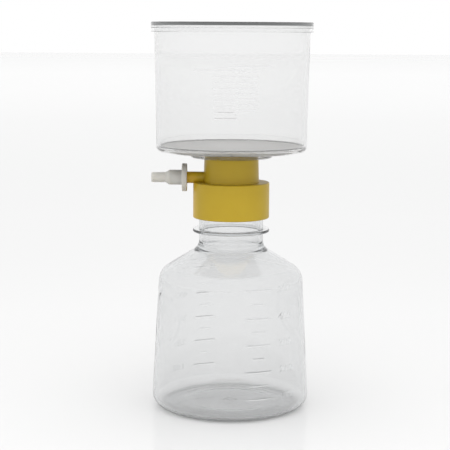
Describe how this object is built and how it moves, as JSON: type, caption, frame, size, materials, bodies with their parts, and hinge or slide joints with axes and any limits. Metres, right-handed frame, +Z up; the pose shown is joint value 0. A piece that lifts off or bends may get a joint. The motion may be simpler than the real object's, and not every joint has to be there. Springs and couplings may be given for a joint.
{
  "type": "vacuum filtration unit",
  "caption": "Clear lidded cup with a membrane floor on a yellow threaded neck adapter with a side vacuum port and stepped hose adapter, screwed on a clear receiver bottle.",
  "frame": {"origin": "middle of the bottle's foot, on the surface it stands on", "axes": "+Z up the common axis of bottle, adapter and cup; the vacuum port and hose adapter point along -X; the volume marks face -Y"},
  "size_m": [0.0996, 0.0996, 0.2398],
  "materials": {
    "clear_bottle": "clear blown plastic, glossy, with faint raised volume marks",
    "clear_cup": "clear moulded plastic, glossy, with faint raised volume marks",
    "clear_lid": "clear moulded plastic, glossy",
    "clear_base": "clear moulded plastic, glossy",
    "white_membrane": "smooth matt white filter membrane",
    "white_support": "matt white moulded plate",
    "yellow_moulding": "opaque golden yellow moulded plastic, satin",
    "natural_moulding": "milky natural moulded plastic, satin",
    "soft_seal": "soft pale seal, matt",
    "cotton": "packed cotton fibre"
  },
  "bodies": {
    "receiver": {"receiver_bottle": "clear_bottle"},
    "seal": {"neck_gasket": "soft_seal"},
    "filter_top": {"neck_adapter": "yellow_moulding", "port_cotton_plug": "cotton", "filter_base": "clear_base", "support_plate": "white_support", "membrane": "white_membrane", "retaining_ring": "clear_base", "upper_chamber": "clear_cup", "lid": "clear_lid"},
    "hose_adapter": {"hose_adapter": "natural_moulding"}
  },
  "joints": [
    {"name": "screw_lift", "type": "slide", "parent": "receiver", "child": "seal", "axis": [0, 0, 1], "range_m": [0, 0.006]},
    {"name": "unscrew", "type": "hinge", "parent": "seal", "child": "filter_top", "pos_m": [0, 0, 0.13], "axis": [0, 0, 1], "range_deg": [0, 540]},
    {"name": "hose_adapter_pull", "type": "slide", "parent": "filter_top", "child": "hose_adapter", "axis": [-1, 0, 0], "range_m": [0, 0.02]}
  ],
  "couplings": [
    {"joint": "screw_lift", "follows": "unscrew", "m_per_rad": 0.00063661}
  ]
}
